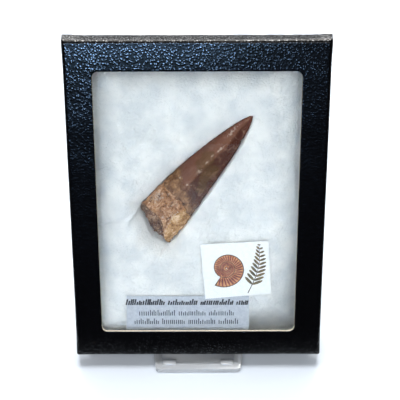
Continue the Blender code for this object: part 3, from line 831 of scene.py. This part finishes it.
# %% [markdown]
# ## Loose fibres
#
# Fine crimped fibres stand off the pad's face and catch the light. They repeat by the thousand, so Geometry
# Nodes scatter them: points on a coarse copy of the pad's front, a short line on each point, a bend from
# noise, and a thin three-sided tube. Long ones lie over the open pad, and short ones crowd in a band round the
# tooth. Real fibres are about 0.03 mm thick. The long ones here are 0.07 mm and the short ones 0.04 mm, as
# coarse as they need to be to show.

# %% Fibres scattered with Geometry Nodes
FIBRE_SEED = 7


def run_nodes(made, tree, values):
    """Runs a node tree on an object with the named inputs set, and keeps the result as a plain mesh."""
    setup = made.modifiers.new(tree.name, "NODES")
    setup.node_group = tree
    for item in tree.interface.items_tree:
        if item.in_out == "INPUT" and item.name in values:
            setup[item.identifier] = values[item.name]
    result = made.evaluated_get(bpy.context.evaluated_depsgraph_get())
    mesh = bpy.data.meshes.new_from_object(result)
    made.modifiers.clear()
    made.data = mesh
    print(made.name, "has", len(mesh.polygons), "faces after", tree.name)
    return made


def new_tree(name, inputs):
    """An empty Geometry Nodes tree with a geometry in and out and named inputs of a given socket type."""
    tree = bpy.data.node_groups.new(name, "GeometryNodeTree")
    tree.interface.new_socket("Geometry", in_out="INPUT", socket_type="NodeSocketGeometry")
    for label, kind in inputs.items():
        tree.interface.new_socket(label, in_out="INPUT", socket_type=kind)
    tree.interface.new_socket("Geometry", in_out="OUTPUT", socket_type="NodeSocketGeometry")
    return tree, tree.nodes.new("NodeGroupInput").outputs


def close_tree(tree, geometry, finish):
    """Ends a tree as every tree here has to end: real faces, a finish, and the output."""
    real = put(tree, "GeometryNodeRealizeInstances", {0: geometry})
    dressed = put(tree, "GeometryNodeSetMaterial", {"Geometry": real.outputs[0], "Material": finish})
    put(tree, "NodeGroupOutput", {0: dressed.outputs[0]})


FIBRE_TONES = [(0.36, "E8EBEC"), (0.62, "FCFCFA")]
fibre_finish = mottled("crimped_polyester_fibre", 0.006, 3.0, FIBRE_TONES, IOR=1.5, Roughness=0.5)[0]

fibre_tree, given = new_tree(
    "scatter_fibres",
    {
        "Fibres per square metre": "NodeSocketFloat",
        "Fibre length": "NodeSocketFloat",
        "Fibre radius": "NodeSocketFloat",
        "Crimp": "NodeSocketFloat",
        "Seed": "NodeSocketInt",
        "Finish": "NodeSocketMaterial",
    },
)

# Points where the pad has room for fibres
room = put(fibre_tree, "GeometryNodeInputNamedAttribute", {0: "room"}, data_type="FLOAT").outputs[0]
crowd = {0: room, 1: given["Fibres per square metre"]}
dense = put(fibre_tree, "ShaderNodeMath", crowd, operation="MULTIPLY").outputs[0]
scatter = {"Mesh": given["Geometry"], "Density": dense, "Seed": given["Seed"]}
spots = put(fibre_tree, "GeometryNodeDistributePointsOnFaces", scatter)

# A line of random length and direction on each point, nearly flat on the pad
line = put(fibre_tree, "GeometryNodeCurvePrimitiveLine", {"Start": (-0.5, 0.0, 0.0), "End": (0.5, 0.0, 0.0)})
divided = put(fibre_tree, "GeometryNodeResampleCurve", {"Curve": line.outputs[0], "Count": 8})
any_way = {0: (-0.10, -0.10, 0.0), 1: (0.10, 0.10, 6.283), "Seed": given["Seed"]}
spin = put(fibre_tree, "FunctionNodeRandomValue", any_way, data_type="FLOAT_VECTOR").outputs[0]
turning = {0: spots.outputs["Rotation"], 1: spin}
turned = put(fibre_tree, "FunctionNodeRotateEuler", turning, rotation_type="EULER", space="LOCAL")
uneven = {2: 0.5, 3: 1.0, "Seed": given["Seed"]}
sizes = put(fibre_tree, "FunctionNodeRandomValue", uneven, data_type="FLOAT").outputs[1]
long = put(fibre_tree, "ShaderNodeMath", {0: sizes, 1: given["Fibre length"]}, operation="MULTIPLY")
laying = {
    "Points": spots.outputs["Points"],
    "Instance": divided.outputs[0],
    "Rotation": turned.outputs[0],
    "Scale": long.outputs[0],
}
laid = put(fibre_tree, "GeometryNodeInstanceOnPoints", laying)
loose = put(fibre_tree, "GeometryNodeRealizeInstances", {0: laid.outputs[0]})

# Crimp: noise in 4D, with each fibre at its own place in the fourth
place = put(fibre_tree, "GeometryNodeInputPosition").outputs[0]
number = put(fibre_tree, "GeometryNodeCurveOfPoint").outputs["Curve Index"]
apart = put(fibre_tree, "ShaderNodeMath", {0: number, 1: 0.37}, operation="MULTIPLY").outputs[0]
wavy = {"Vector": place, "W": apart, "Scale": 1 / 0.0028, "Detail": 1.0}
waves = put(fibre_tree, "ShaderNodeTexNoise", wavy, noise_dimensions="4D").outputs["Color"]
swing = put(fibre_tree, "ShaderNodeVectorMath", {0: waves, 1: (0.5, 0.5, 0.5)}, operation="SUBTRACT")
bending = {0: swing.outputs[0], "Scale": given["Crimp"]}
shift = put(fibre_tree, "ShaderNodeVectorMath", bending, operation="SCALE").outputs[0]
crimped = put(fibre_tree, "GeometryNodeSetPosition", {"Geometry": loose.outputs[0], "Offset": shift})

# A thin three-sided tube along each line
across = {"Resolution": 3, "Radius": given["Fibre radius"]}
section = put(fibre_tree, "GeometryNodeCurvePrimitiveCircle", across)
drawn = {"Curve": crimped.outputs[0], "Profile Curve": section.outputs[0], "Fill Caps": True}
tube = put(fibre_tree, "GeometryNodeCurveToMesh", drawn)
close_tree(fibre_tree, tube.outputs[0], given["Finish"])


def make_fibres(name, inset, starts, stops, values):
    """A coarse copy of the pad's front that is turned into fibres.

    starts and stops are ramps of the distance from the tooth over which the fibres thicken and thin out.
    """
    places, faces = pad_grid(100, 132, inset)
    points = [(x, pad_depth(x, z) - 0.00002, z) for x, z in places]
    gaps = np.array([tooth_gap(x, z)[0] for x, z in places])
    room = smooth(*starts, gaps) * (1 - smooth(*stops, gaps))
    made = add_piece(name, points, faces, BOX_PLACE, [], marks={"room": room})
    return run_nodes(made, fibre_tree, {"Seed": FIBRE_SEED, "Finish": fibre_finish, **values})


NOWHERE = (1.0, 2.0)
long_fibres = make_fibres(
    "batting_fibres",
    0.006,
    (0.0042, 0.006),
    NOWHERE,
    {"Fibres per square metre": 4.4e5, "Fibre length": 0.0085, "Fibre radius": 0.000034, "Crimp": 0.0024},
)
short_fibres = make_fibres(
    "batting_short_fibres",
    0.003,
    (0.0008, 0.0022),
    (0.0055, 0.007),
    {"Fibres per square metre": 1.5e6, "Fibre length": 0.0026, "Fibre radius": 0.00002, "Crimp": 0.0008},
)

# %% [markdown]
# ## Papers under the glass
#
# A small glossy white card and a pale label lie between the batting and the glass. Both are flat sheets, and
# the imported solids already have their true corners, so they stay and only get paper finishes: a hint of pulp
# in the colour and a surface that is smoother on the coated card than on the label.


# %% Paper finishes
def paper(name, dark, light, roughness, pulp_size):
    stops = [(0.35, dark), (0.65, light)]
    return mottled(name, pulp_size, 4.0, stops, (0.3, 0.00002), IOR=1.45, Roughness=roughness)[0]


card_stock = paper("coated_white_card", "F8FAFA", "FFFFFF", 0.35, 0.0012)
label_stock = paper("pale_grey_label_paper", "B9BFCA", "C8CDD6", 0.75, 0.0009)
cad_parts["picture_card"].material_slots[0].material = card_stock
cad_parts["name_label"].material_slots[0].material = label_stock

# %% [markdown]
# ## Printed shapes
#
# The card carries a plain drawing of a fossil shell and a fern frond, and the label carries rows of small
# ticks that read as lines of print but say nothing. Real print has no thickness. Here each mark is a closed
# shape 0.02 mm thick that floats just in front of its paper. Ribs, leaflets and ticks all repeat, so one
# Geometry Nodes tree stamps them: a round or square blank on each point, turned and stretched by that point's
# values. Ink soaks in unevenly, so each colour of ink is a mottled finish too.

# %% Stamping tree
INK = 0.00002

stamp_tree, given = new_tree(
    "stamp_shapes",
    {"Round": "NodeSocketBool", "Thickness": "NodeSocketFloat", "Finish": "NodeSocketMaterial"},
)

# A round blank or a square one, one metre across and as thick as the ink, facing the front
round_one = {"Vertices": 12, "Radius": 0.5, "Depth": given["Thickness"]}
disc = put(stamp_tree, "GeometryNodeMeshCylinder", round_one).outputs[0]
facing = {"Geometry": disc, "Rotation": (math.pi / 2, 0, 0)}
upright = put(stamp_tree, "GeometryNodeTransform", facing).outputs[0]
size = put(stamp_tree, "ShaderNodeCombineXYZ", {0: 1.0, 1: given["Thickness"], 2: 1.0}).outputs[0]
block = put(stamp_tree, "GeometryNodeMeshCube", {"Size": size}).outputs[0]
either = {"Switch": given["Round"], "False": block, "True": upright}
blank = put(stamp_tree, "GeometryNodeSwitch", either, input_type="GEOMETRY").outputs[0]

# One blank on each point, with that point's own turn and size
turn, stretch = (
    put(stamp_tree, "GeometryNodeInputNamedAttribute", {0: mark}, data_type="FLOAT_VECTOR").outputs[0]
    for mark in ("turn", "stretch")
)
pressing = {"Points": given["Geometry"], "Instance": blank, "Rotation": turn, "Scale": stretch}
stamped = put(stamp_tree, "GeometryNodeInstanceOnPoints", pressing).outputs[0]
close_tree(stamp_tree, stamped, given["Finish"])


def ink(name, dark, light):
    return mottled(name, 0.0016, 4.0, [(0.38, dark), (0.6, light)], IOR=1.45, Roughness=0.5)[0]


def stamp(name, marks, depth, finish, round_blank):
    """Stamps marks given as (x, z, turn, length along the turn, length across it) in the box's axes."""
    mesh = bpy.data.meshes.new(name)
    mesh.from_pydata([(x, depth, z) for x, z, *_ in marks], [], [])
    turns = [value for mark in marks for value in (0.0, -mark[2], 0.0)]
    sizes = [value for mark in marks for value in (mark[3], 1.0, mark[4])]
    mesh.attributes.new("turn", "FLOAT_VECTOR", "POINT").data.foreach_set("vector", turns)
    mesh.attributes.new("stretch", "FLOAT_VECTOR", "POINT").data.foreach_set("vector", sizes)
    made = bpy.data.objects.new(name, mesh)
    bpy.context.scene.collection.objects.link(made)
    run_nodes(made, stamp_tree, {"Round": round_blank, "Thickness": INK, "Finish": finish})
    made.data.transform(BOX_PLACE)
    return made


def stripe(name, left, right, depth, finish):
    """A flat closed band between two lines of points in the box's axes."""
    count = len(left)
    line = list(left) + list(right)
    points = [(x, depth, z) for x, z in line] + [(x, depth + INK, z) for x, z in line]
    faces = []
    for i in range(count - 1):
        a, b, c, d = i, i + 1, count + i + 1, count + i
        faces += [(a, b, c, d), tuple(2 * count + k for k in (d, c, b, a))]
        faces += [(a, 2 * count + a, 2 * count + b, b), (d, c, 2 * count + c, 2 * count + d)]
    for a, d in ((0, count), (count - 1, 2 * count - 1)):
        faces.append((a, d, 2 * count + d, 2 * count + a))
    made = add_piece(name, points, faces, BOX_PLACE, [finish])
    made.data.shade_flat()
    return made


# %% [markdown]
# ## Picture card
#
# The shell is a coiled ammonite. Its coil is a logarithmic spiral whose turns touch, so the outer edge of one
# turn is the inner edge of the next. A dark band makes its line, a narrower one in front its wash, and each rib
# is an oval across the coil, sized by the radius where it sits. The frond is a bent stem of short strokes with
# pairs of leaflets that get shorter towards its tip.

# %% Shell and frond
CARD_MIDDLE, CARD_TURN, CARD_FRONT = Vector((0.01324, 0.03194)), math.radians(4), 0.00313
COIL_TURNS, COIL_GROWTH, COIL_RADIUS, COIL_MOUTH = 5.0, 2.0, 0.0074, -2.2
COIL_MIDDLE = Vector((-0.0034, 0.0008))
RIBBED_TURNS, RIB_STEP, RIB_SLANT = 2.4, 0.03, 0.3
FROND_STEPS, FROND_LEAN, LEAFLET_SPREAD = 36, math.pi / 2 - 0.3, 0.95


def on_card(x, z):
    """A point of the card's own plane in the box's axes."""
    c, s = math.cos(CARD_TURN), math.sin(CARD_TURN)
    return (CARD_MIDDLE.x + c * x - s * z, CARD_MIDDLE.y + s * x + c * z)


def coil(turns, shift=0.0):
    """A point of the coil's outer edge, counted back in turns from the mouth, and its angle."""
    radius = COIL_RADIUS * COIL_GROWTH ** (-turns) + shift
    angle = COIL_MOUTH + 2 * math.pi * turns
    x, z = COIL_MIDDLE.x + radius * math.cos(angle), COIL_MIDDLE.y + radius * math.sin(angle)
    return on_card(x, z), angle


line_ink = ink("printed_black_line", "1D1512", "2E211B")
shell_ink = ink("printed_orange_wash", "B5683C", "D99A66")
rib_ink = ink("printed_red_brown_wash", "6A2A22", "93463A")
leaf_ink = ink("printed_olive_wash", "54452C", "7C6A45")
steps = np.linspace(0.0, COIL_TURNS, 220)
prints = [
    stripe(
        "shell_outline",
        [coil(s, 0.00022 * COIL_GROWTH ** (-0.5 * s))[0] for s in steps],
        [coil(s + 1, -0.0001 * COIL_GROWTH ** (-s))[0] for s in steps],
        CARD_FRONT - 2 * INK,
        line_ink,
    ),
    stripe(
        "shell_wash",
        [coil(s + 0.01, -0.0001)[0] for s in steps],
        [coil(s + 1, 0.00014 * COIL_GROWTH ** (-s))[0] for s in steps],
        CARD_FRONT - 4 * INK,
        shell_ink,
    ),
]
ribs = []
back = 0.02
while back < RIBBED_TURNS:
    size = COIL_GROWTH ** (-back)
    (x, z), angle = coil(back, -COIL_RADIUS * size * 0.25)
    ribs.append((x, z, angle + CARD_TURN + RIB_SLANT, 0.0036 * size, 0.0005 * size + 0.0001))
    back += RIB_STEP
prints.append(stamp("shell_ribs", ribs, CARD_FRONT - 6 * INK, rib_ink, True))

leaflets, stem = [], []
for k in range(FROND_STEPS + 1):
    up = k / FROND_STEPS
    x, z = 0.0036 + 0.0046 * up + 0.0016 * math.sin(math.pi * up), -0.0088 + 0.0174 * up
    stem.append((*on_card(x, z), CARD_TURN + FROND_LEAN, 0.0008, 0.00024 * (1.3 - up)))
    if k % 3 == 0 and k > 3:
        length = 0.0036 * (1 - up) ** 0.6 + 0.0006
        for hand in (1, -1):
            way = FROND_LEAN - hand * LEAFLET_SPREAD
            middle_x, middle_z = x + 0.5 * length * math.cos(way), z + 0.5 * length * math.sin(way)
            leaflets.append((*on_card(middle_x, middle_z), way + CARD_TURN, length, 0.0004 + 0.16 * length))
prints.append(stamp("frond_stem", stem, CARD_FRONT - 3 * INK, line_ink, True))
prints.append(stamp("frond_leaflets", leaflets, CARD_FRONT - 5 * INK, leaf_ink, True))

# %% [markdown]
# ## Label lines
#
# Three rows of upright strokes stand for the label's print: a bold slanted row on top and two lighter rows
# below, in groups as long as a word or two. Strokes alone say nothing, and at this size the eye takes them for
# type. A seeded random generator picks their heights and spacing, so every run prints the same.

# %% Ticks in rows
LABEL_FRONT = 0.00368
label_ink = ink("printed_navy_line", "10131F", "1A2032")
grey_ink = ink("printed_grey_navy_line", "2C3242", "3B4253")
picks = random.Random(11)


def ticks(low_x, high_x, base_z, height, weight, slant):
    """One row of upright strokes of uneven height, close together in groups with gaps between them."""
    marks, x = [], low_x
    left = picks.randint(12, 20)
    while x < high_x:
        tall = height * picks.choice((0.75, 1.0, 1.0, 1.0, 1.35))
        marks.append((x + slant * tall / 2, base_z + tall / 2, -slant, weight, tall))
        x += height * picks.uniform(0.36, 0.5)
        left -= 1
        if left == 0:
            x += height * 0.6
            left = picks.randint(10, 20)
    return marks


bold = ticks(-0.0251, 0.0172, 0.0183, 0.0017, 0.00056, 0.22)
plain = ticks(-0.0205, 0.0125, 0.0142, 0.0016, 0.00032, 0.0)
plain += ticks(-0.0222, 0.0140, 0.0109, 0.0016, 0.00034, 0.0)
label_prints = [
    stamp("label_bold_row", bold, LABEL_FRONT - 2 * INK, label_ink, False),
    stamp("label_plain_rows", plain, LABEL_FRONT - 2 * INK, grey_ink, False),
]

# %% [markdown]
# ## Clear plastics and glass
#
# The pane is float glass and the easel is clear moulded polystyrene. The pane is fully clear, with the index
# 1.5 of common glass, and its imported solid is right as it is. Polystyrene's true index is 1.59. An easel that
# was moulded cheaply and handled much is hazy and reads as pale grey more than as clear, so it lets only part
# of the light through, is a little rough, and has an index of 1.5 that keeps its edges from going dark. Its
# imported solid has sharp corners, so a merged copy of it gets the small radius that a mould leaves.

# %% Glass pane and easel
glass, tree, shader = new_finish("float_glass", Base_Color=paint("FDFFFE"), IOR=1.5, Roughness=0.0)
shader.inputs["Transmission Weight"].default_value = 1.0
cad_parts["glass_pane"].material_slots[0].material = glass

polystyrene, tree, shader = new_finish("moulded_clear_polystyrene", Base_Color=paint("D8DCE0"), IOR=1.5)
shader.inputs["Transmission Weight"].default_value = 0.58
where = put(tree, "ShaderNodeTexCoord").outputs["Object"]
flow = put(tree, "ShaderNodeTexNoise", {"Vector": where, "Scale": 1 / 0.006, "Detail": 2.0})
haze = put(tree, "ShaderNodeMapRange", {"Value": flow.outputs["Fac"], "To Min": 0.1, "To Max": 0.2})
link(tree, haze.outputs[0], shader, "Roughness")
relief = put(tree, "ShaderNodeBump", {"Strength": 0.1, "Distance": 0.0001, "Height": flow.outputs["Fac"]})
link(tree, relief.outputs[0], shader, "Normal")


def make_easel():
    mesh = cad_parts["easel"].data.copy()
    skin = bmesh.new()
    skin.from_mesh(mesh)
    bmesh.ops.remove_doubles(skin, verts=skin.verts, dist=0.00001)
    bmesh.ops.dissolve_limit(skin, angle_limit=math.radians(1), verts=skin.verts, edges=skin.edges)
    bmesh.ops.recalc_face_normals(skin, faces=skin.faces)
    skin.to_mesh(mesh)
    skin.free()
    mesh.materials.clear()
    mesh.materials.append(polystyrene)
    made = bpy.data.objects.new("clear_easel", mesh)
    bpy.context.scene.collection.objects.link(made)
    radius = made.modifiers.new("mould_radius", "BEVEL")
    radius.width, radius.segments, radius.limit_method = 0.00018, 2, "ANGLE"
    radius.angle_limit = math.radians(30)
    radius.harden_normals = True
    result = made.evaluated_get(bpy.context.evaluated_depsgraph_get())
    made.data = bpy.data.meshes.new_from_object(result)
    made.modifiers.clear()
    made.data.shade_smooth()
    made.data.set_sharp_from_angle(angle=math.radians(35))
    print("easel has", len(made.data.polygons), "faces")
    return made


easel = make_easel()

# %% [markdown]
# ## Bodies and what each piece replaces
#
# Nothing here moves on a joint, so every piece rides on the one body. A new piece that stands for an imported
# node hides that node.

# %% Hand the pieces to the frame
for piece, node, slot in (
    (lid, "lid", "leatherette"),
    (tray, "tray", "tray_paper"),
    (tooth, "tooth", "tooth"),
    (batting, "batting", "batting"),
    (easel, "easel", "clear_plastic"),
):
    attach(piece, "root")
    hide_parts(node)
loose = [(piece, "batting") for piece in (long_fibres, short_fibres)]
loose += [(piece, "card") for piece in prints] + [(piece, "label") for piece in label_prints]
for piece, slot in loose:
    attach(piece, "root")

# %% [markdown]
# ## Studio
#
# The box stands on white paper that runs out past every edge of the picture. Soft boxes above and behind
# light the paper, the top wall and the easel, and a window in front lights the batting and the tooth. What the
# black cover shows is what it reflects, so it is lit apart: the wide window is hidden from reflections, a black
# flag on the floor in front of the easel is seen in reflections alone, and a narrow strip of blue sky, seen
# mostly by them, makes the specks at the top of the lid. A warm door at the left gives the tooth its low side
# light. The room itself is dim, with its bright half tipped back.

# %% Floor, world and lights
scene = bpy.context.scene
scene.view_settings.view_transform = "Standard"


def add_stage(name, low, high, level, finish):
    """A flat sheet of the studio, from its low corner to its high corner at a height."""
    mesh = bpy.data.meshes.new(name)
    (left, near), (right, far) = low, high
    corners = [(left, near, level), (right, near, level), (right, far, level), (left, far, level)]
    mesh.from_pydata(corners, [], [(0, 1, 2, 3)])
    mesh.materials.append(finish)
    made = bpy.data.objects.new(name, mesh)
    scene.collection.objects.link(made)
    made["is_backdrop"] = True
    return made


sweep, tree, shader = new_finish("pale_paper_sweep", Base_Color=paint("BDC5CF"), Roughness=0.9)
shader.inputs["Specular IOR Level"].default_value = 0.1
felt, tree, shader = new_finish("black_flag_felt", Base_Color=paint("050505"), Roughness=1.0)
shader.inputs["Specular IOR Level"].default_value = 0.0
add_stage("paper_floor", (-3, -3), (3, 3), -0.0003, sweep)
flag = add_stage("black_flag", (-3, -3), (3, -0.046), 0.0004, felt)
flag.visible_camera = flag.visible_diffuse = flag.visible_transmission = flag.visible_shadow = False

world = bpy.data.worlds.new("studio_room")
scene.world = world
world.use_nodes = True
tree = world.node_tree
tree.nodes.clear()
direction = put(tree, "ShaderNodeTexCoord").outputs["Generated"]
rise = put(tree, "ShaderNodeVectorMath", {0: direction, 1: (0.0, 0.29, 0.96)}, operation="DOT_PRODUCT")
level = put(tree, "ShaderNodeMapRange", {"Value": rise.outputs["Value"], "From Min": -1.0, "From Max": 1.0})
SKY_TONES = [(0.50, "0C0C0E"), (0.60, "A9B6C8"), (0.72, "D2DAE4"), (1.0, "E4E9F0")]
sky = put(tree, "ShaderNodeValToRGB", {0: level.outputs[0]}, stops=SKY_TONES)
room = put(tree, "ShaderNodeBackground", {"Color": sky.outputs[0], "Strength": 0.15})
put(tree, "ShaderNodeOutputWorld", {"Surface": room.outputs[0]})


MIDDLE = Vector((0.0, 0.0, 0.05))
LIGHT_DISTANCE = 0.9


def add_light(name, azimuth, elevation, size, power, colour):
    """An oblong light aimed at the middle of the box. Azimuth 0 is in front and 90 is on the right."""
    a, e = math.radians(azimuth), math.radians(elevation)
    way = Vector((math.sin(a) * math.cos(e), -math.cos(a) * math.cos(e), math.sin(e)))
    lamp = bpy.data.lights.new(name, "AREA")
    lamp.shape, lamp.size, lamp.size_y = "RECTANGLE", size[0], size[1]
    lamp.energy, lamp.color = power, paint(colour)[:3]
    made = bpy.data.objects.new(name, lamp)
    scene.collection.objects.link(made)
    made.location = MIDDLE + way * LIGHT_DISTANCE
    made.rotation_euler = (MIDDLE - made.location).to_track_quat("-Z", "Y").to_euler()
    made.visible_camera = False
    return made


daylight = add_light("wide_window_daylight", -4, 32, (1.2, 0.5), 7.6, "FFFEFC")
daylight.visible_glossy = False
add_light("window_in_front", -4, 27, (0.6, 0.16), 2.0, "FBFDFF")
strip = add_light("blue_sky_strip", -6, 14, (0.3, 0.08), 3.3, "9AC4F6")
strip.visible_diffuse = strip.visible_transmission = False
add_light("soft_box_above", 180, 80, (0.6, 0.6), 15.5, "FFFEFC")
add_light("soft_box_behind", 180, 45, (0.7, 0.3), 7.5, "FFF8EE")
add_light("low_light_behind", 180, 20, (0.9, 0.2), 4.0, "FFFFFF")
add_light("door_at_left", -92, 14, (0.5, 0.3), 1.2, "FFE9E0")

# %% [markdown]
# ## Camera
#
# The photograph's perspective was solved from the box's edges: the camera stands about 0.32 m from the middle
# of the window, looking down 35 degrees through a lens of 86 mm on a 36 mm sensor.

# %% Camera
lens = bpy.data.cameras.new("photo_camera")
lens.lens, lens.sensor_width, lens.clip_start = 86.4, 36.0, 0.01
camera = bpy.data.objects.new("photo_camera", lens)
scene.collection.objects.link(camera)

# The solve's results in the box's axes: where the eye is, and which ways are ahead and to its right
EYE = Vector((0.00136, -0.30015, 0.16694))
AHEAD = Vector((-0.00176, 0.94047, -0.33987))
RIGHTWARD = Vector((1.0, 0.00083, -0.0029))
leaning_back = BOX_PLACE.to_3x3()
ahead = (leaning_back @ AHEAD).normalized()
rightward = leaning_back @ RIGHTWARD
rightward = (rightward - ahead * rightward.dot(ahead)).normalized()
turned = Matrix((rightward, rightward.cross(ahead), -ahead)).transposed().to_4x4()
camera.matrix_world = Matrix.Translation(BOX_PLACE @ EYE) @ turned
scene.camera = camera
print("camera at", [round(v, 4) for v in camera.matrix_world.translation])

# %% Sizes and the end
low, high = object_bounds()
sizes = {"cad": [list(cad_low), list(cad_high)], "visual": [list(low), list(high)]}
print("visual box", [round(1000 * v, 1) for v in (high - low)], "mm")
